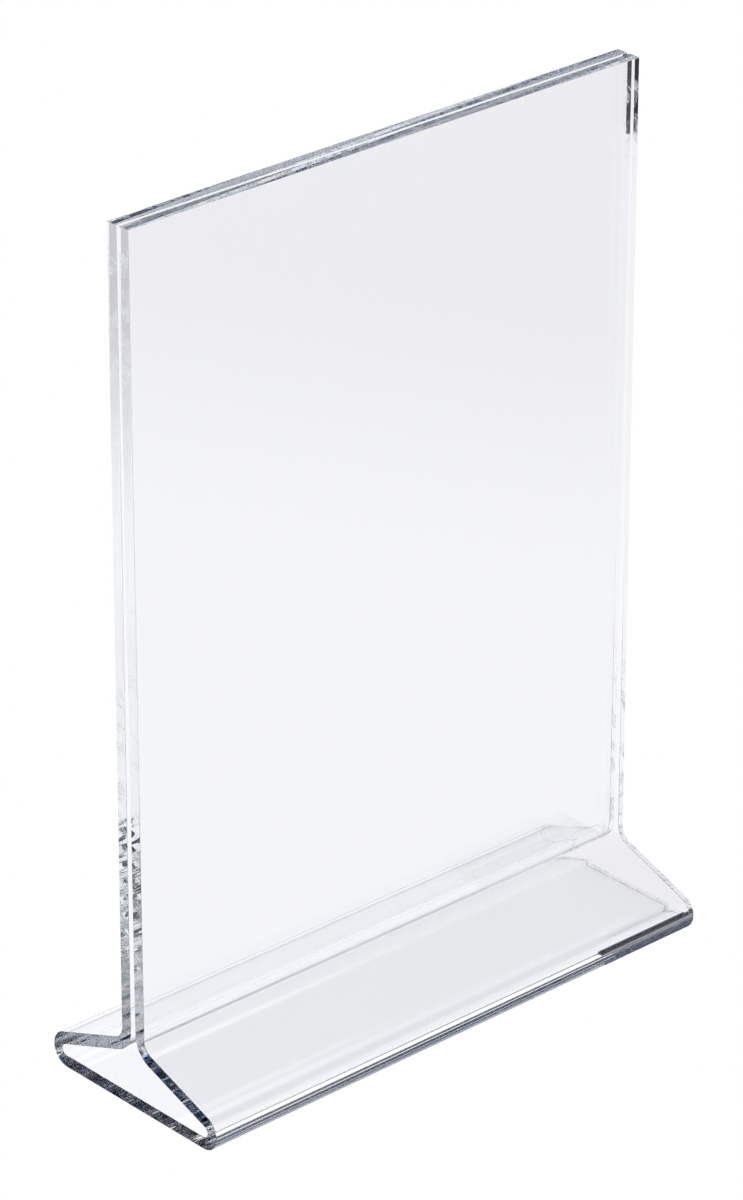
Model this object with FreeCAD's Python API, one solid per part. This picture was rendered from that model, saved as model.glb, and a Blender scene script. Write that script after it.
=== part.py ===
import FreeCAD, Part
import math
import os

# A clear two-sided sign holder of the inverted-T kind: one acrylic sheet, bent hot on five
# straight lines into two upright panels on a hollow, three-cornered foot. X is the width, +Y the
# rear and +Z up. The origin is the middle of the foot's underside, on the table.
#
# The two halves are mirror images in the plane y = 0. Every bend line runs along X, so each
# length of the sheet is one outline in the Y-Z plane, extruded over the full width. The lengths
# meet face to face on their bend tangents, where the sheet is cut square to itself.

# Driving dimensions, in millimetres.
WIDTH = 215.9              # across the holder: the short side of a letter-size page
HEIGHT = 309.5             # table to the panels' top edges
THICKNESS = 4.5            # of the sheet, everywhere
GAP_AT_FOOT = 2.15         # slot between the panels, just above the shoulder bends
GAP_AT_TOP = 1.0           # the panels lean together towards their open top
SHOULDER_CORNER = 24.2     # height where a panel's outer face would meet the slope's upper face
TOE_CORNER = 70.1          # distance from the middle where the slope would meet the table
SHOULDER_RADIUS = 5.5      # hollow side of a shoulder bend
TOE_RADIUS = 6.5           # outside of a toe bend; its inside is this less the thickness


class Line:
    """A straight outer face of the sheet: a point on it, its direction, and the way inwards."""

    def __init__(self, start, end, inwards):
        self.start = start
        self.end = end
        self.along = (end - start).normalize()
        self.inwards = inwards

    def inner(self, point):
        """The point on the inner face, straight through the sheet from one on the outer face."""
        return point + self.inwards * THICKNESS


def at(y, z):
    return FreeCAD.Vector(0, y, z)


def quarter_turn(direction, way):
    """The direction turned by 90 degrees about X, anticlockwise for way 1, clockwise for -1."""
    return at(-way * direction.z, way * direction.y)


def panel_line(side):
    """Outer face of an upright panel, from its virtual foot corner to its top edge."""
    foot = at(side * (GAP_AT_FOOT / 2 + THICKNESS), SHOULDER_CORNER)
    top = at(side * (GAP_AT_TOP / 2 + THICKNESS), HEIGHT)
    return Line(foot, top, quarter_turn((top - foot).normalize(), side))


def slope_line(side):
    """Upper face of the foot's slope, from the shoulder corner to the virtual toe corner."""
    shoulder = at(side * (GAP_AT_FOOT / 2 + THICKNESS), SHOULDER_CORNER)
    toe = at(side * TOE_CORNER, 0)
    return Line(shoulder, toe, quarter_turn((toe - shoulder).normalize(), -side))


def bend_centre(corner, arm_a, arm_b, radius):
    """Centre of the arc of this radius that touches both arms leaving the corner."""
    half = arm_a.getAngle(arm_b) / 2
    return corner + (arm_a + arm_b).normalize() * (radius / math.sin(half))


def tangent_point(corner, arm_a, arm_b, radius):
    """Where the arc of this radius between the two arms leaves arm_a."""
    half = arm_a.getAngle(arm_b) / 2
    return corner + arm_a * (radius / math.tan(half))


def shoulder_tangents(side):
    """Outer-face points where the shoulder bend meets the panel and the slope."""
    up = panel_line(side).along
    out = slope_line(side).along
    corner = panel_line(side).start
    on_panel = tangent_point(corner, up, out, SHOULDER_RADIUS)
    on_slope = tangent_point(corner, out, up, SHOULDER_RADIUS)
    return on_panel, on_slope


def toe_tangents(side):
    """Outer-face points where the toe bend meets the slope and the base plate."""
    back_up = slope_line(side).along * -1
    back_in = at(-side, 0)
    corner = slope_line(side).end
    on_slope = tangent_point(corner, back_up, back_in, TOE_RADIUS)
    on_base = tangent_point(corner, back_in, back_up, TOE_RADIUS)
    return on_slope, on_base


def across(edges):
    """Solid of the full width from a closed outline in the Y-Z plane, centred on X = 0."""
    solid = Part.Face(Part.Wire(edges)).extrude(FreeCAD.Vector(WIDTH, 0, 0))
    solid.translate(FreeCAD.Vector(-WIDTH / 2, 0, 0))
    return solid


def straight(points):
    """Edges round a closed straight-sided outline."""
    return Part.makePolygon(points + points[:1]).Edges


def arc(centre, start, end):
    """Edge of the circle about the centre, from start to end by the way of their middle."""
    radius = (start - centre).Length
    middle = centre + ((start - centre).normalize() + (end - centre).normalize()).normalize() * radius
    return Part.Arc(start, middle, end).toShape()


def bend(centre, outer_a, outer_b, inner_a, inner_b):
    """A bend: two arcs about one centre, closed by the square cuts at its two tangents."""
    return across([
        arc(centre, outer_a, outer_b),
        Part.LineSegment(outer_b, inner_b).toShape(),
        arc(centre, inner_b, inner_a),
        Part.LineSegment(inner_a, outer_a).toShape(),
    ])


def panel(side):
    line = panel_line(side)
    foot, _ = shoulder_tangents(side)
    return across(straight([foot, line.end, line.inner(line.end), line.inner(foot)]))


def shoulder_bend(side):
    upright = panel_line(side)
    slope = slope_line(side)
    on_panel, on_slope = shoulder_tangents(side)
    centre = bend_centre(upright.start, upright.along, slope.along, SHOULDER_RADIUS)
    return bend(centre, on_panel, on_slope, upright.inner(on_panel), slope.inner(on_slope))


def slope(side):
    line = slope_line(side)
    _, upper = shoulder_tangents(side)
    lower, _ = toe_tangents(side)
    return across(straight([upper, lower, line.inner(lower), line.inner(upper)]))


def toe_bend(side):
    line = slope_line(side)
    on_slope, on_base = toe_tangents(side)
    centre = bend_centre(line.end, line.along * -1, at(-side, 0), TOE_RADIUS)
    return bend(centre, on_slope, on_base, line.inner(on_slope), on_base + at(0, THICKNESS))


def base_plate():
    _, front = toe_tangents(-1)
    _, rear = toe_tangents(1)
    rise = at(0, THICKNESS)
    return across(straight([front, rear, rear + rise, front + rise]))


def nodes():
    """Every length of the sheet by name, from the base plate up each side."""
    made = {"base_plate": base_plate()}
    for name, side in (("front", -1), ("rear", 1)):
        made[name + "_toe_bend"] = toe_bend(side)
        made[name + "_slope"] = slope(side)
        made[name + "_shoulder_bend"] = shoulder_bend(side)
        made[name + "_panel"] = panel(side)
    return made


def main():
    os.makedirs("parts", exist_ok=True)
    for name, solid in nodes().items():
        solid.exportStep("parts/" + name + ".step")
        box = solid.BoundBox
        print("%-20s valid %s  %8.0f mm3  y %6.2f..%6.2f  z %6.2f..%6.2f" % (
            name, solid.isValid(), solid.Volume, box.YMin, box.YMax, box.ZMin, box.ZMax))


main()
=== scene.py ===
"""Visual model of a clear acrylic, two-sided table sign holder.

The holder is one sheet of cast acrylic, bent hot on straight lines into two upright panels on a
hollow three-cornered foot. It is modelled as one closed surface, because the real sheet has no
seam that light could meet inside it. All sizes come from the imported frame, in metres: X is the
width, +Y the rear and +Z up.
"""

import logging
import math
from dataclasses import dataclass, field
from enum import Enum

import bmesh
import bpy
import numpy as np
from mathutils import Matrix, Vector


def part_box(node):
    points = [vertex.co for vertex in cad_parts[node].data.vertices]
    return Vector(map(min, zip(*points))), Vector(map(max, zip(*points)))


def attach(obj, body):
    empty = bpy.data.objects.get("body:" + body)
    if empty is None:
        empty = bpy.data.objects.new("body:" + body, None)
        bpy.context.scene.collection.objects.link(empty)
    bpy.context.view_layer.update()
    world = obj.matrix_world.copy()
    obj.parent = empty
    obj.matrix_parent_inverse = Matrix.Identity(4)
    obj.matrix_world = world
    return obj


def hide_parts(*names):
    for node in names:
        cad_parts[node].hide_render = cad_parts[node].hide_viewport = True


log = logging.getLogger("sign_holder")
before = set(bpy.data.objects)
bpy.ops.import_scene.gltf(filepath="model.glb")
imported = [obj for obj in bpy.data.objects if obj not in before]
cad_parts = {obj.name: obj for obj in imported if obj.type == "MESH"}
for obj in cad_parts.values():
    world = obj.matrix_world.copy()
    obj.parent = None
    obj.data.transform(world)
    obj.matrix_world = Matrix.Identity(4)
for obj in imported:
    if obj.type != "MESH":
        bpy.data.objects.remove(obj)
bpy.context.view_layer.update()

MM = 0.001
UV_NAME = "Sheet"
MERGE_DISTANCE = 1e-7
CORNER_ANGLE = math.radians(40.0)

Colour = tuple[float, float, float]
WHITE: Colour = (1.0, 1.0, 1.0)

# Saw marks: scales and limits of the two noises that draw them.
MARKS_ACROSS_PER_METRE = 90.0
DEPTH_PATCHES_PER_METRE = 110.0
SHALLOW_BELOW, DEEP_ABOVE = 0.46, 0.58
GROOVE_HALF_WIDTH = 0.04
POLISHED_SHARE = 0.12
POLISH_FADE = 30.0 * MM

# Dust specks: size of a speck in its cell, and the patches of the face that have any.
SPECK_SIZE = 0.045
DUSTY_PATCHES_PER_METRE = 22.0
DUSTY_ABOVE = 0.64


class Surface(Enum):
    """Material slots of the sheet, by the way that the surface was made."""

    CAST_FACE = 0
    CUT_EDGE = 1


def new_group(name: str, inputs: dict[str, float], outputs: list[str]) -> bpy.types.NodeTree:
    """Starts a shader node group that follows the sheet's own coordinates.

    Args:
        name: Name of the group.
        inputs: Name and first value of each number that a material sets.
        outputs: Names of the values that the group gives.

    Returns:
        The group, with a Vector input first and its two end nodes named "in" and "out".
    """
    group = bpy.data.node_groups.new(name, "ShaderNodeTree")
    group.interface.new_socket("Vector", in_out="INPUT", socket_type="NodeSocketVector")
    for label, value in inputs.items():
        socket = group.interface.new_socket(label, in_out="INPUT", socket_type="NodeSocketFloat")
        socket.default_value = value
    for label in outputs:
        group.interface.new_socket(label, in_out="OUTPUT", socket_type="NodeSocketFloat")
    group.nodes.new("NodeGroupInput").name = "in"
    group.nodes.new("NodeGroupOutput").name = "out"
    return group


def math_node(tree: bpy.types.NodeTree, operation: str,
              *values: float | bpy.types.NodeSocket) -> bpy.types.NodeSocket:
    """Adds one Math node.

    Args:
        tree: Node tree that gets the node.
        operation: Blender's name of the operation.
        values: A number or an output socket for each input, in order.

    Returns:
        The node's output socket.
    """
    node = tree.nodes.new("ShaderNodeMath")
    node.operation = operation
    for socket, value in zip(node.inputs, values):
        if isinstance(value, bpy.types.NodeSocket):
            tree.links.new(value, socket)
        else:
            socket.default_value = value
    return node.outputs[0]


def mix_node(tree: bpy.types.NodeTree, blend: str, factor: bpy.types.NodeSocket,
             first: Colour | bpy.types.NodeSocket, second: Colour) -> bpy.types.NodeSocket:
    """Mixes two colours.

    Args:
        tree: Node tree that gets the node.
        blend: Blender's name of the way to mix.
        factor: Output that gives the share of the second colour.
        first: A colour, or an output that gives it.
        second: The second colour.

    Returns:
        Output of the mixed colour.
    """
    node = tree.nodes.new("ShaderNodeMix")
    node.data_type = "RGBA"
    node.blend_type = blend
    node.inputs["B"].default_value = (*second, 1.0)
    tree.links.new(factor, node.inputs["Factor"])
    if isinstance(first, bpy.types.NodeSocket):
        tree.links.new(first, node.inputs["A"])
    else:
        node.inputs["A"].default_value = (*first, 1.0)
    return node.outputs["Result"]


def smooth_step_node(tree: bpy.types.NodeTree, value: bpy.types.NodeSocket,
                     span: tuple[float, float]) -> bpy.types.NodeSocket:
    """Smooth step of a value.

    Args:
        tree: Node tree that gets the node.
        value: Output that gives the value.
        span: Values at which the step starts and ends.

    Returns:
        Output that goes from 0 to 1 across the span.
    """
    fade = tree.nodes.new("ShaderNodeMapRange")
    fade.interpolation_type = "SMOOTHSTEP"
    fade.inputs["From Min"].default_value = span[0]
    fade.inputs["From Max"].default_value = span[1]
    tree.links.new(value, fade.inputs["Value"])
    return fade.outputs["Result"]


def saw_marks_group() -> bpy.types.NodeTree:
    """Marks that a saw leaves across a cut edge, worn soft by flame polishing.

    The marks are noise in (u - slant * v, v), stretched so that they are short along the edge
    and long across its depth. A second, coarser noise makes some stretches deeper than others.
    Grooves are the thin lines where the marks' noise crosses its middle value. Both fade to a
    small share beyond a reach from the middle of the foot, where the flame polished longer.

    Returns:
        The group, with outputs Height and Groove, both from 0 to 1.
    """
    inputs = {"Marks per metre": 900.0, "Slant": 0.6, "Foot middle": 0.0, "Foot reach": 0.1}
    group = new_group("saw_marks", inputs, ["Height", "Groove"])
    links = group.links
    start, end = group.nodes["in"], group.nodes["out"]
    split = group.nodes.new("ShaderNodeSeparateXYZ")
    links.new(start.outputs["Vector"], split.inputs[0])
    lean = math_node(group, "MULTIPLY", split.outputs["Y"], start.outputs["Slant"])
    along = math_node(group, "SUBTRACT", split.outputs["X"], lean)
    along = math_node(group, "MULTIPLY", along, start.outputs["Marks per metre"])
    across = math_node(group, "MULTIPLY", split.outputs["Y"], MARKS_ACROSS_PER_METRE)
    join = group.nodes.new("ShaderNodeCombineXYZ")
    links.new(along, join.inputs["X"])
    links.new(across, join.inputs["Y"])
    marks = group.nodes.new("ShaderNodeTexNoise")
    marks.inputs["Scale"].default_value = 1.0
    marks.inputs["Detail"].default_value = 3.0
    links.new(join.outputs[0], marks.inputs["Vector"])
    depth = group.nodes.new("ShaderNodeTexNoise")
    depth.inputs["Scale"].default_value = DEPTH_PATCHES_PER_METRE
    depth.inputs["Detail"].default_value = 2.0
    links.new(start.outputs["Vector"], depth.inputs["Vector"])
    deep = group.nodes.new("ShaderNodeMapRange")
    deep.inputs["From Min"].default_value = SHALLOW_BELOW
    deep.inputs["From Max"].default_value = DEEP_ABOVE
    links.new(depth.outputs["Fac"], deep.inputs["Value"])
    from_foot = math_node(group, "SUBTRACT", split.outputs["X"], start.outputs["Foot middle"])
    from_foot = math_node(group, "ABSOLUTE", from_foot)
    polish = group.nodes.new("ShaderNodeMapRange")
    polish.inputs["To Min"].default_value = 1.0
    polish.inputs["To Max"].default_value = POLISHED_SHARE
    links.new(from_foot, polish.inputs["Value"])
    links.new(start.outputs["Foot reach"], polish.inputs["From Min"])
    polished = math_node(group, "ADD", start.outputs["Foot reach"], POLISH_FADE)
    links.new(polished, polish.inputs["From Max"])
    depth_left = math_node(group, "MULTIPLY", deep.outputs["Result"], polish.outputs["Result"])
    off_middle = math_node(group, "SUBTRACT", marks.outputs["Fac"], 0.5)
    off_middle = math_node(group, "ABSOLUTE", off_middle)
    groove = group.nodes.new("ShaderNodeMapRange")
    groove.interpolation_type = "SMOOTHSTEP"
    groove.inputs["From Max"].default_value = GROOVE_HALF_WIDTH
    groove.inputs["To Min"].default_value = 1.0
    groove.inputs["To Max"].default_value = 0.0
    links.new(off_middle, groove.inputs["Value"])
    cut = math_node(group, "MULTIPLY", groove.outputs["Result"], depth_left)
    height = math_node(group, "MULTIPLY", marks.outputs["Fac"], depth_left)
    links.new(height, end.inputs["Height"])
    links.new(cut, end.inputs["Groove"])
    return group


def handling_group() -> bpy.types.NodeTree:
    """Slow waviness of a cast sheet and the few dust specks that handling leaves on it.

    Waves are a soft noise over tens of millimetres. Specks are the cores of Voronoi cells, kept
    only where a coarse noise is high.

    Returns:
        The group, with outputs Wave and Speck, both from 0 to 1.
    """
    inputs = {"Waves per metre": 30.0, "Specks per metre": 160.0}
    group = new_group("handling", inputs, ["Wave", "Speck"])
    links = group.links
    start, end = group.nodes["in"], group.nodes["out"]
    wave = group.nodes.new("ShaderNodeTexNoise")
    wave.inputs["Detail"].default_value = 1.0
    links.new(start.outputs["Vector"], wave.inputs["Vector"])
    links.new(start.outputs["Waves per metre"], wave.inputs["Scale"])
    links.new(wave.outputs["Fac"], end.inputs["Wave"])
    cells = group.nodes.new("ShaderNodeTexVoronoi")
    links.new(start.outputs["Vector"], cells.inputs["Vector"])
    links.new(start.outputs["Specks per metre"], cells.inputs["Scale"])
    core = math_node(group, "LESS_THAN", cells.outputs["Distance"], SPECK_SIZE)
    patchy = group.nodes.new("ShaderNodeTexNoise")
    patchy.inputs["Scale"].default_value = DUSTY_PATCHES_PER_METRE
    links.new(start.outputs["Vector"], patchy.inputs["Vector"])
    present = math_node(group, "GREATER_THAN", patchy.outputs["Fac"], DUSTY_ABOVE)
    links.new(math_node(group, "MULTIPLY", core, present), end.inputs["Speck"])
    return group


@dataclass(frozen=True)
class ClearAcrylic:
    """Cast acrylic as light crosses it: smooth, almost colourless, faintly blue in depth.

    Attributes:
        ior: Refractive index.
        let_through: What a clean face passes of the light that crosses it twice.
        speck_tint: Colour of the face under a dust speck.
        depth_colour: Tint of the depth: a channel is absorbed by 1 minus its value here.
        density: Times that share, the absorption per metre.
    """

    ior: float = 1.49
    let_through: Colour = (0.966, 0.969, 0.975)
    speck_tint: Colour = (0.82, 0.82, 0.82)
    depth_colour: Colour = (0.80, 0.90, 1.0)
    density: float = 0.6

    def start(self, name: str) -> bpy.types.Material:
        """Makes the clear body that both finishes share.

        Args:
            name: Name of the new material.

        Returns:
            The material, with its constants set and its absorbing volume linked.
        """
        material = bpy.data.materials.new(name)
        material.use_nodes = True
        tree = material.node_tree
        surface = tree.nodes["Principled BSDF"]
        surface.inputs["Base Color"].default_value = (*self.let_through, 1.0)
        surface.inputs["Roughness"].default_value = 0.0
        surface.inputs["IOR"].default_value = self.ior
        surface.inputs["Transmission Weight"].default_value = 1.0
        volume = tree.nodes.new("ShaderNodeVolumeAbsorption")
        volume.inputs["Color"].default_value = (*self.depth_colour, 1.0)
        volume.inputs["Density"].default_value = self.density
        tree.links.new(volume.outputs["Volume"], tree.nodes["Material Output"].inputs["Volume"])
        return material


def place_group(material: bpy.types.Material, group: bpy.types.NodeTree) -> bpy.types.Node:
    """Puts a node group in a material and feeds it the sheet's own coordinates.

    Args:
        material: Material that uses the effect.
        group: The effect.

    Returns:
        The group's node.
    """
    tree = material.node_tree
    where = tree.nodes.new("ShaderNodeUVMap")
    where.uv_map = UV_NAME
    node = tree.nodes.new("ShaderNodeGroup")
    node.node_tree = group
    tree.links.new(where.outputs["UV"], node.inputs["Vector"])
    return node


def bump(material: bpy.types.Material, height: bpy.types.NodeSocket, depth: float) -> None:
    """Raises the surface by a height map.

    Args:
        material: Material that gets the relief.
        height: Output that gives the height from 0 to 1.
        depth: Relief in metres between 0 and 1.
    """
    tree = material.node_tree
    node = tree.nodes.new("ShaderNodeBump")
    node.inputs["Distance"].default_value = depth
    tree.links.new(height, node.inputs["Height"])
    tree.links.new(node.outputs["Normal"], tree.nodes["Principled BSDF"].inputs["Normal"])


@dataclass(frozen=True)
class CastFace:
    """Polished face of the sheet, with slow waves and a few specks of dust.

    Attributes:
        body: The acrylic itself.
        wave_depth: Height of the waves in metres.
    """

    body: ClearAcrylic = ClearAcrylic()
    wave_depth: float = 0.002 * MM

    def material(self, handling: bpy.types.NodeTree) -> bpy.types.Material:
        """Builds the finish.

        Args:
            handling: Node group of waves and specks.

        Returns:
            The material.
        """
        material = self.body.start("clear_acrylic")
        tree = material.node_tree
        effect = place_group(material, handling)
        clean, dusty = self.body.let_through, self.body.speck_tint
        tint = mix_node(tree, "MIX", effect.outputs["Speck"], clean, dusty)
        tree.links.new(tint, tree.nodes["Principled BSDF"].inputs["Base Color"])
        bump(material, effect.outputs["Wave"], self.wave_depth)
        return material


@dataclass(frozen=True)
class CutEdge:
    """Sawn and flame-polished edge of the sheet.

    Attributes:
        body: The acrylic itself.
        mark_depth: Relief of the saw marks in metres.
        groove_depth: How many times deeper a groove is.
        marks: Saw marks in each metre of edge.
        slant: Lean of the marks across the edge.
        smooth: Roughness between the grooves.
        worn: Roughness in the grooves.
        stain: Tint of the grooves, where dust stays.
        foot_middle: Distance along the edge of the middle of the foot, in metres.
        foot_reach: Distance from there within which the marks are at their deepest.
    """

    body: ClearAcrylic = ClearAcrylic()
    mark_depth: float = 0.008 * MM
    groove_depth: float = 5.0
    marks: float = 900.0
    slant: float = 0.6
    smooth: float = 0.0
    worn: float = 0.50
    stain: Colour = (0.88, 0.90, 0.94)
    foot_middle: float = 0.0
    foot_reach: float = 130.0 * MM

    def material(self, saw_marks: bpy.types.NodeTree) -> bpy.types.Material:
        """Builds the finish.

        Args:
            saw_marks: Node group of the saw's marks.

        Returns:
            The material.
        """
        material = self.body.start("cut_edge")
        tree = material.node_tree
        surface = tree.nodes["Principled BSDF"]
        effect = place_group(material, saw_marks)
        effect.inputs["Marks per metre"].default_value = self.marks
        effect.inputs["Slant"].default_value = self.slant
        effect.inputs["Foot middle"].default_value = self.foot_middle
        effect.inputs["Foot reach"].default_value = self.foot_reach
        groove = effect.outputs["Groove"]
        rough = tree.nodes.new("ShaderNodeMapRange")
        rough.inputs["To Min"].default_value = self.smooth
        rough.inputs["To Max"].default_value = self.worn
        tree.links.new(groove, rough.inputs["Value"])
        tree.links.new(rough.outputs["Result"], surface.inputs["Roughness"])
        tint = mix_node(tree, "MIX", groove, self.body.let_through, self.stain)
        tree.links.new(tint, surface.inputs["Base Color"])
        sunk = math_node(tree, "MULTIPLY", groove, -self.groove_depth)
        relief = math_node(tree, "ADD", effect.outputs["Height"], sunk)
        bump(material, relief, self.mark_depth)
        return material


@dataclass(frozen=True)
class Path:
    """The sheet's two faces in the Y-Z plane, sampled from the rear top edge to the front one.

    Attributes:
        outer: Places on the outer face, one row each of y and z.
        inner: Places on the inner face, opposite those on the outer one.
        length: Distance along the outer face from the start to each place.
    """

    outer: np.ndarray
    inner: np.ndarray
    length: np.ndarray


@dataclass(frozen=True)
class Patch:
    """One grid of the sheet's surface, ready to be joined with the others.

    Attributes:
        places: Vertices, with the grid's two parameters as the first two axes.
        uv: The sheet's own coordinates of each vertex, in metres.
        surface: The way that this surface was made.
    """

    places: np.ndarray
    uv: np.ndarray
    surface: Surface

    def quads(self) -> np.ndarray:
        """Vertex numbers of the grid's cells, four to a row and in turn round each cell."""
        rows, columns = self.places.shape[:2]
        corner = np.arange(rows - 1)[:, None] * columns + np.arange(columns - 1)[None, :]
        corner = corner.ravel()
        return np.stack([corner, corner + columns, corner + columns + 1, corner + 1], axis=1)


@dataclass
class BentSheet:
    """The whole holder: one sheet of even thickness carried along its bent path.

    Attributes:
        width: Length along X.
        thickness: Thickness of the sheet.
        foot: Outer face's y and z where the rear panel meets its shoulder bend.
        top: Outer face's y and z at the rear panel's top edge.
        toe_centre: y of the rear toe bend's centre.
        toe_radius: Outer radius of the toe bends.
        slope: Slope of the foot's two upper walls, in radians.
        hollow: Radius of the shoulder bends on their hollow side.
        arc_steps: Flats in each bend.
        support: Width of the flat strip that keeps each straight length straight.
        edge_round: Rounding of every cut edge's corners.
        round_steps: Flats in that rounding.
    """

    width: float
    thickness: float
    foot: tuple[float, float]
    top: tuple[float, float]
    toe_centre: float
    toe_radius: float
    slope: float
    hollow: float
    arc_steps: int = 56
    support: float = 0.35 * MM
    edge_round: float = 0.18 * MM
    round_steps: int = 2

    @classmethod
    def from_frame(cls) -> "BentSheet":
        """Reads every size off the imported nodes' boxes.

        Returns:
            The sheet at its real size.
        """
        base_low, base_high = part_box("base_plate")
        _, toe_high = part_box("rear_toe_bend")
        panel_low, panel_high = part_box("rear_panel")
        _, shoulder_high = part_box("rear_shoulder_bend")
        thickness = base_high.z - base_low.z
        toe_radius = toe_high.y - base_high.y
        slope = math.acos(toe_high.z / toe_radius - 1.0)
        foot = (panel_high.y, panel_low.z)
        top = (panel_low.y + thickness, panel_high.z)
        lean = math.atan2(foot[0] - top[0], top[1] - foot[1])
        return cls(
            width=base_high.x - base_low.x,
            thickness=thickness,
            foot=foot,
            top=top,
            toe_centre=base_high.y,
            toe_radius=toe_radius,
            slope=slope,
            hollow=(shoulder_high.y - foot[0]) / (math.cos(lean) - math.sin(slope)),
        )

    def straight(self, start: np.ndarray, end: np.ndarray) -> np.ndarray:
        """Places on a straight length: its ends, one just inside each, and its middle.

        Args:
            start: First y and z.
            end: Last y and z.

        Returns:
            Five rows of y and z.
        """
        reach = np.linalg.norm(end - start)
        steps = np.array([0.0, self.support / reach, 0.5, 1.0 - self.support / reach, 1.0])
        return start + np.outer(steps, end - start)

    def shoulder_centre(self) -> np.ndarray:
        """Centre of an arc that is tangent to the panel's and the slope's outer lines.

        Each line is normal . point = distance. Both lines are moved out by the radius, and the
        centre is where they cross.

        Returns:
            y and z of the centre.
        """
        lean = self.lean()
        normals = np.array([
            [math.cos(lean), math.sin(lean)], [math.sin(self.slope), math.cos(self.slope)]])
        toe = np.array([self.toe_centre, self.toe_radius])
        distances = np.array([normals[0] @ np.array(self.top), normals[1] @ toe + self.toe_radius])
        return np.linalg.solve(normals, distances + self.hollow)

    def lean(self) -> float:
        """Angle between a panel and the upright, in radians."""
        return math.atan2(self.foot[0] - self.top[0], self.top[1] - self.foot[1])

    def half(self, depth: float) -> np.ndarray:
        """One face of the rear half, from the top edge to the middle of the base.

        Each bend is centre + radius * (cos, sin) of an evenly growing angle. The shoulder turns
        about a centre outside the sheet, and the toe about one inside it.

        Args:
            depth: Distance of this face below the outer face.

        Returns:
            One row of y and z for each place.
        """
        lean = self.lean()
        steps = np.linspace(0.0, 1.0, self.arc_steps + 1)
        turn = lean + steps * (math.pi / 2 - self.slope - lean)
        shoulder_in = -np.stack([np.cos(turn), np.sin(turn)], axis=1)
        shoulder = self.shoulder_centre() + (self.hollow + depth) * shoulder_in
        turn = math.pi / 2 - self.slope - steps * (math.pi - self.slope)
        toe_out = np.stack([np.cos(turn), np.sin(turn)], axis=1)
        toe = np.array([self.toe_centre, self.toe_radius]) + (self.toe_radius - depth) * toe_out
        top = np.array([self.top[0] - depth / math.cos(lean), self.top[1]])
        panel = self.straight(top, shoulder[0])
        slope = self.straight(shoulder[-1], toe[0])
        base = self.straight(toe[-1], np.array([0.0, depth]))
        return np.vstack([panel[:-1], shoulder, slope[1:-1], toe, base[1:-1]])

    def path(self) -> Path:
        """Both whole faces: the rear half, then the front half's mirror image back up."""
        mirror = np.array([-1.0, 1.0])
        outer, inner = [
            np.vstack([half, half[::-1] * mirror])
            for half in (self.half(0.0), self.half(self.thickness))]
        steps = np.linalg.norm(np.diff(outer, axis=0), axis=1)
        return Path(outer, inner, np.concatenate([[0.0], np.cumsum(steps)]))

    def across(self) -> np.ndarray:
        """Stations along X: the two ends, and one just inside each that keeps the faces flat."""
        steps = np.array([0.0, self.support, self.width - self.support, self.width])
        return steps - self.width / 2

    def place(self, path: Path, s: np.ndarray, depth: np.ndarray, x: np.ndarray) -> np.ndarray:
        """Places in the sheet: outer(s) + depth * (inner(s) - outer(s)).

        Args:
            path: The sheet's two faces.
            s: Number of the path's point, for each place.
            depth: Share of the thickness below the outer face, from 0 to 1.
            x: Place along the width.

        Returns:
            x, y and z of each place, on a last axis.
        """
        yz = path.outer[s] + depth[..., None] * (path.inner[s] - path.outer[s])
        return np.concatenate([x[..., None], yz], axis=-1)

    def patches(self) -> list[Patch]:
        """The closed surface as six grids: two faces, two ends and two top edges.

        Returns:
            The grids, which share the vertices along their borders.
        """
        path = self.path()
        across = self.across()
        deep = np.array([0.0, 1.0])
        along = np.arange(len(path.outer))
        grids = []
        for depth in deep:
            s, x = np.meshgrid(along, across, indexing="ij")
            places = self.place(path, s, np.full(s.shape, depth), x)
            grids.append(Patch(places, np.stack([path.length[s], x], axis=-1), Surface.CAST_FACE))
        for end in across[[0, -1]]:
            s, d = np.meshgrid(along, deep, indexing="ij")
            places = self.place(path, s, d, np.full(s.shape, end))
            uv = np.stack([path.length[s], d * self.thickness], axis=-1)
            grids.append(Patch(places, uv, Surface.CUT_EDGE))
        for edge in along[[0, -1]]:
            x, d = np.meshgrid(across, deep, indexing="ij")
            places = self.place(path, np.full(x.shape, edge), d, x)
            uv = np.stack([x, d * self.thickness], axis=-1)
            grids.append(Patch(places, uv, Surface.CUT_EDGE))
        return grids

    def build(self) -> bpy.types.Object:
        """Joins the grids into one closed mesh and rounds its cut corners.

        Returns:
            The sheet's object.
        """
        grids = self.patches()
        sizes = [patch.places[..., 0].size for patch in grids]
        starts = np.concatenate([[0], np.cumsum(sizes)[:-1]])
        quads = [patch.quads() for patch in grids]
        places = np.vstack([patch.places.reshape(-1, 3) for patch in grids])
        uv = np.vstack([patch.uv.reshape(-1, 2) for patch in grids])
        faces = np.vstack([quad + start for quad, start in zip(quads, starts)])
        slots = np.repeat([patch.surface.value for patch in grids], [len(quad) for quad in quads])
        mesh = bpy.data.meshes.new("acrylic_sheet")
        mesh.from_pydata(places.tolist(), [], faces.tolist())
        layer = mesh.uv_layers.new(name=UV_NAME)
        layer.uv.foreach_set("vector", uv[faces.ravel()].ravel().astype(np.float32))
        mesh.polygons.foreach_set("material_index", slots.astype(np.int32))
        mesh.polygons.foreach_set("use_smooth", np.ones(len(faces), dtype=bool))
        solid = bmesh.new()
        solid.from_mesh(mesh)
        bmesh.ops.remove_doubles(solid, verts=solid.verts, dist=MERGE_DISTANCE)
        bmesh.ops.recalc_face_normals(solid, faces=solid.faces)
        solid.to_mesh(mesh)
        solid.free()
        mesh.set_sharp_from_angle(angle=CORNER_ANGLE)
        holder = bpy.data.objects.new("acrylic_sheet", mesh)
        bpy.context.scene.collection.objects.link(holder)
        bevel = holder.modifiers.new("edge_round", "BEVEL")
        bevel.width = self.edge_round
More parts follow.
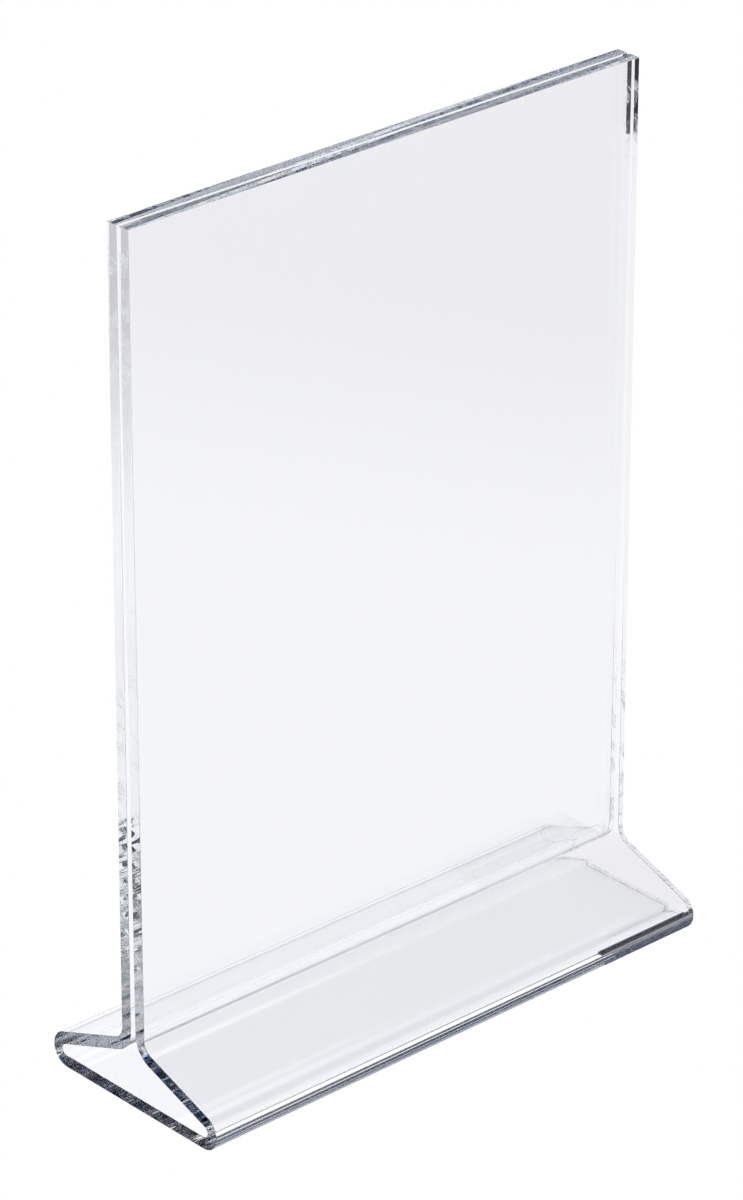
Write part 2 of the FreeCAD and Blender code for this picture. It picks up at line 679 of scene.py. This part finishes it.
        bevel.segments = self.round_steps
        bevel.limit_method = "ANGLE"
        bevel.angle_limit = CORNER_ANGLE
        bevel.harden_normals = True
        return holder

    def dress(self, holder: bpy.types.Object) -> None:
        """Gives the sheet its two finishes, in the order of its material slots.

        Args:
            holder: The sheet's object.
        """
        middle = self.path().length[-1] / 2
        finishes = {
            Surface.CAST_FACE: CastFace().material(handling_group()),
            Surface.CUT_EDGE: CutEdge(foot_middle=middle).material(saw_marks_group()),
        }
        for surface in Surface:
            holder.data.materials.append(finishes[surface])
            log.info("finish %s on %s", finishes[surface].name, surface.name.lower())


@dataclass(frozen=True)
class SoftLight:
    """Round light on the room's wall, fading smoothly at its border.

    Attributes:
        turn: Direction round the table, in degrees.
        lift: Height above the horizon, in degrees.
        full: Half angle within which the light is full, in degrees.
        gone: Half angle at which it has faded out, in degrees.
        colour: Light that it adds to the room.
    """

    turn: float
    lift: float
    full: float
    gone: float
    colour: Colour

    def direction(self) -> Vector:
        """Unit vector towards the light's middle."""
        turn, lift = math.radians(self.turn), math.radians(self.lift)
        level = math.cos(lift)
        return Vector((math.cos(turn) * level, math.sin(turn) * level, math.sin(lift)))


def flat_piece(name: str, corners: np.ndarray,
               material: bpy.types.Material) -> bpy.types.Object:
    """Makes one flat stage piece.

    Args:
        name: Name of the piece.
        corners: Its corners in turn, as x, y and z.
        material: Its self-lit material.

    Returns:
        The piece, which the log names as stage.
    """
    mesh = bpy.data.meshes.new(name)
    mesh.from_pydata(corners.tolist(), [], [list(range(len(corners)))])
    mesh.materials.append(material)
    piece = bpy.data.objects.new(name, mesh)
    bpy.context.scene.collection.objects.link(piece)
    log.info("stage %s", name)
    return piece


def glowing(name: str, colour: Colour) -> bpy.types.Material:
    """A self-lit material.

    Args:
        name: Name of the material.
        colour: Light that it gives.

    Returns:
        The material, whose emission node is named "glow".
    """
    material = bpy.data.materials.new(name)
    material.use_nodes = True
    tree = material.node_tree
    tree.nodes.remove(tree.nodes["Principled BSDF"])
    glow = tree.nodes.new("ShaderNodeEmission")
    glow.name = "glow"
    glow.inputs["Color"].default_value = (*colour, 1.0)
    tree.links.new(glow.outputs[0], tree.nodes["Material Output"].inputs["Surface"])
    return material


@dataclass
class Studio:
    """White table in a dim blue room, with soft lights behind the holder on the right.

    The room's light falls with height: white at table level, blue above it, then nearly black.
    Angles round the table are measured from +X towards +Y.

    Attributes:
        bounces: How often light may cross or meet a surface.
        floor_radius: Radius of the white table.
        floor_sides: Straight lengths in its rim.
        floor_gap: Clearance under the holder.
        room: Height above the horizon in degrees, and the room's colour there.
        corner: What is left of the room's light towards the rear left and the front right.
        corner_share: Strength of that dimming.
        lights: Soft lights of the room.
        near: Light of the table under the foot, as seen through the acrylic.
        far: The same away from the foot.
        near_x: Distances in X from the middle at which the table changes from near to far.
        near_y: The same in Y.
        shade: What is left of the table's light towards the front right, seen the same way.
        shade_turn: Direction of that shade round the table, in radians.
        shade_span: Distances from the middle at which the shade starts and is full.
        black_start: Start of the rear black strip, painted shade on the table, as x and y.
        black_length: Length of each black strip.
        black_width: Width of each strip.
        black_turn: Direction of the rear strip, in radians.
        foot_shadow_cards: Black cards close to the foot, which paint the foot's shadow on the
            table: least and greatest x, then y, of each.
        black: Light of the strips and cards of painted shade.
    """

    bounces: int = 160
    floor_radius: float = 3.5
    floor_sides: int = 96
    floor_gap: float = 0.5 * MM
    room: list[tuple[float, Colour]] = field(default_factory=lambda: [
        (0.0, (0.96, 0.97, 1.0)),
        (7.0, (0.92, 0.95, 1.0)),
        (11.0, (0.30, 0.46, 0.80)),
        (17.0, (0.06, 0.13, 0.29)),
        (25.0, (0.014, 0.024, 0.055)),
        (90.0, (0.010, 0.011, 0.015)),
    ])
    corner: Colour = (0.02, 0.06, 0.18)
    corner_share: float = 2.6
    lights: list[SoftLight] = field(default_factory=lambda: [
        SoftLight(60.0, 37.5, 4.0, 10.0, WHITE),
        SoftLight(48.5, 37.0, 1.5, 4.5, WHITE),
    ])
    near: Colour = (1.10, 1.11, 1.13)
    far: Colour = (0.97, 0.97, 0.98)
    near_x: tuple[float, float] = (0.105, 0.112)
    near_y: tuple[float, float] = (0.035, 0.050)
    shade: Colour = (0.59, 0.58, 0.60)
    shade_turn: float = math.radians(-30.0)
    shade_span: tuple[float, float] = (0.30, 0.60)
    black_start: tuple[float, float] = (-0.393, 0.503)
    black_length: float = 0.17
    black_width: float = 0.06
    black_turn: float = math.radians(135.0)
    # Painted shadow of the foot: black cards on the table, seen only through or reflected in the
    # acrylic.
    foot_shadow_cards: list[tuple[float, float, float, float]] = field(default_factory=lambda: [
        (0.069, 0.135, -0.050, -0.033),
        (-0.150, 0.069, -0.050, -0.0415),
        (-0.170, -0.1083, -0.045, 0.100),
    ])
    black: Colour = (0.010, 0.011, 0.013)

    def render_setup(self) -> None:
        """Keeps whites white and lets light cross the sheet as often as it has to."""
        scene = bpy.context.scene
        scene.view_settings.view_transform = "Standard"
        scene.cycles.max_bounces = self.bounces
        scene.cycles.transmission_bounces = self.bounces
        scene.cycles.glossy_bounces = self.bounces

    def build_room(self) -> None:
        """Lights the room: a ramp over the sine of the height, two dimmed corners, soft lights.

        The dimming is -xy of the unit direction times its strength, and so is greatest towards
        the rear left and the front right. Each soft light is added by a smooth step over the
        cosine of the angle from its middle.
        """
        world = bpy.data.worlds.new("room")
        bpy.context.scene.world = world
        world.use_nodes = True
        tree = world.node_tree
        where = tree.nodes.new("ShaderNodeTexCoord")
        split = tree.nodes.new("ShaderNodeSeparateXYZ")
        tree.links.new(where.outputs["Generated"], split.inputs[0])
        ramp = tree.nodes.new("ShaderNodeValToRGB")
        stops = ramp.color_ramp.elements
        for number, (height, colour) in enumerate(self.room):
            place = math.sin(math.radians(height))
            stop = stops[number] if number < 2 else stops.new(place)
            stop.position = place
            stop.color = (*colour, 1.0)
        tree.links.new(split.outputs["Z"], ramp.inputs["Fac"])
        product = math_node(tree, "MULTIPLY", split.outputs["X"], split.outputs["Y"])
        corner = math_node(tree, "MULTIPLY", product, -self.corner_share)
        lit = mix_node(tree, "MULTIPLY", corner, ramp.outputs["Color"], self.corner)
        for light in self.lights:
            towards = tree.nodes.new("ShaderNodeVectorMath")
            towards.operation = "DOT_PRODUCT"
            towards.inputs[1].default_value = light.direction()
            tree.links.new(where.outputs["Generated"], towards.inputs[0])
            span = (math.cos(math.radians(light.gone)), math.cos(math.radians(light.full)))
            fade = smooth_step_node(tree, towards.outputs["Value"], span)
            lit = mix_node(tree, "ADD", fade, lit, light.colour)
        tree.links.new(lit, tree.nodes["Background"].inputs["Color"])
        log.info("room with %d heights of light", len(self.room))

    def build_floor(self) -> None:
        """White round table, evenly white to the eye.

        Seen through or reflected in the acrylic it is brighter under the foot, where smooth
        steps over |x| and |y| lead from near to far, and dimmer towards the front right, by a
        smooth step over the distance along the shade's direction.
        """
        turn = np.linspace(0.0, 2 * math.pi, self.floor_sides, endpoint=False)
        rim = np.stack([np.cos(turn), np.sin(turn), np.zeros_like(turn)], axis=1)
        rim = rim * self.floor_radius - np.array([0.0, 0.0, self.floor_gap])
        material = glowing("white_table", WHITE)
        tree = material.node_tree
        where = tree.nodes.new("ShaderNodeTexCoord")
        split = tree.nodes.new("ShaderNodeSeparateXYZ")
        tree.links.new(where.outputs["Object"], split.inputs[0])
        sideways = math_node(tree, "ABSOLUTE", split.outputs["X"])
        across = math_node(tree, "ABSOLUTE", split.outputs["Y"])
        past_end = smooth_step_node(tree, sideways, self.near_x)
        past_toe = smooth_step_node(tree, across, self.near_y)
        outwards = math_node(tree, "MAXIMUM", past_end, past_toe)
        towards = tree.nodes.new("ShaderNodeVectorMath")
        towards.operation = "DOT_PRODUCT"
        direction = (math.cos(self.shade_turn), math.sin(self.shade_turn), 0.0)
        towards.inputs[1].default_value = direction
        tree.links.new(where.outputs["Object"], towards.inputs[0])
        shaded = smooth_step_node(tree, towards.outputs["Value"], self.shade_span)
        seen = tree.nodes.new("ShaderNodeLightPath")
        light = mix_node(tree, "MIX", outwards, self.near, self.far)
        light = mix_node(tree, "MULTIPLY", shaded, light, self.shade)
        light = mix_node(tree, "MIX", seen.outputs["Is Camera Ray"], light, WHITE)
        tree.links.new(light, tree.nodes["glow"].inputs["Color"])
        flat_piece("white_table", rim, material)

    def card(self, name: str, outline: np.ndarray, material: bpy.types.Material) -> None:
        """Lays a card of painted shade on the table that shows only through or reflected in the
        acrylic.

        Args:
            name: Name of the card.
            outline: Its corners in turn, as x and y.
            material: Its self-lit material.
        """
        corners = np.column_stack([outline, np.full(len(outline), -self.floor_gap / 2)])
        flat_piece(name, corners, material).visible_camera = False

    def build_painted_shade(self) -> None:
        """Black cards of painted shade: a strip at the left on the rear and front sides, and those
        at the foot, which paint its shadow.
        """
        painted_shade = glowing("painted_shade_card", self.black)
        # Black strips at the left: painted shade on the table, seen only through or reflected in
        # the acrylic.
        along = np.array([math.cos(self.black_turn), math.sin(self.black_turn)])
        side = np.array([-along[1], along[0]]) * self.black_width / 2
        start = np.array(self.black_start)
        end = start + along * self.black_length
        strip = np.array([start - side, end - side, end + side, start + side])
        self.card("rear_strip", strip, painted_shade)
        self.card("front_strip", strip[::-1] * (1.0, -1.0), painted_shade)
        # Cards that paint the foot's shadow on the table.
        for number, (left, right, front, rear) in enumerate(self.foot_shadow_cards, start=1):
            outline = np.array([[left, front], [right, front], [right, rear], [left, rear]])
            self.card(f"foot_shadow_card_{number}", outline, painted_shade)

    def build(self) -> None:
        """Sets up the rendering, the room, the table and its cards of painted shade."""
        self.render_setup()
        self.build_room()
        self.build_floor()
        self.build_painted_shade()


@dataclass
class ViewCamera:
    """Camera with a long lens at the left front, looking down at the holder.

    Attributes:
        location: Place in metres.
        yaw: Turn of the line of sight from +Y towards +X, in degrees.
        pitch: Its fall below the horizon, in degrees.
        roll: Turn of the picture about the line of sight, in degrees.
        lens: Focal length in millimetres.
        sensor: Length of the sensor's long side in millimetres.
        clip: Nearest and farthest distance that the camera sees.
    """

    location: tuple[float, float, float] = (-1.13424, -1.23993, 0.98050)
    yaw: float = 42.345
    pitch: float = 26.356
    roll: float = 0.092
    lens: float = 173.374
    sensor: float = 36.0
    clip: tuple[float, float] = (0.01, 50.0)

    def build(self) -> None:
        """Makes the camera and hands it to the scene."""
        data = bpy.data.cameras.new("camera")
        data.sensor_width = self.sensor
        data.lens = self.lens
        data.clip_start, data.clip_end = self.clip
        camera = bpy.data.objects.new("camera", data)
        bpy.context.scene.collection.objects.link(camera)
        turn = Matrix.Rotation(-math.radians(self.yaw), 4, "Z")
        fall = Matrix.Rotation(math.radians(90.0 - self.pitch), 4, "X")
        level = Matrix.Rotation(math.radians(self.roll), 4, "Z")
        camera.matrix_world = Matrix.Translation(self.location) @ turn @ fall @ level
        bpy.context.scene.camera = camera
        log.info("camera %.0f mm", self.lens)


def main() -> None:
    """Builds the camera, the holder and the studio, and reports each piece."""
    logging.basicConfig(level=logging.INFO)
    ViewCamera().build()
    sheet = BentSheet.from_frame()
    holder = sheet.build()
    sheet.dress(holder)
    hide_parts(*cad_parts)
    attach(holder, "root")
    width, thickness = sheet.width / MM, sheet.thickness / MM
    log.info("piece %s, %.1f mm wide, %.2f mm thick", holder.name, width, thickness)
    Studio().build()


if __name__ == "__main__":
    main()
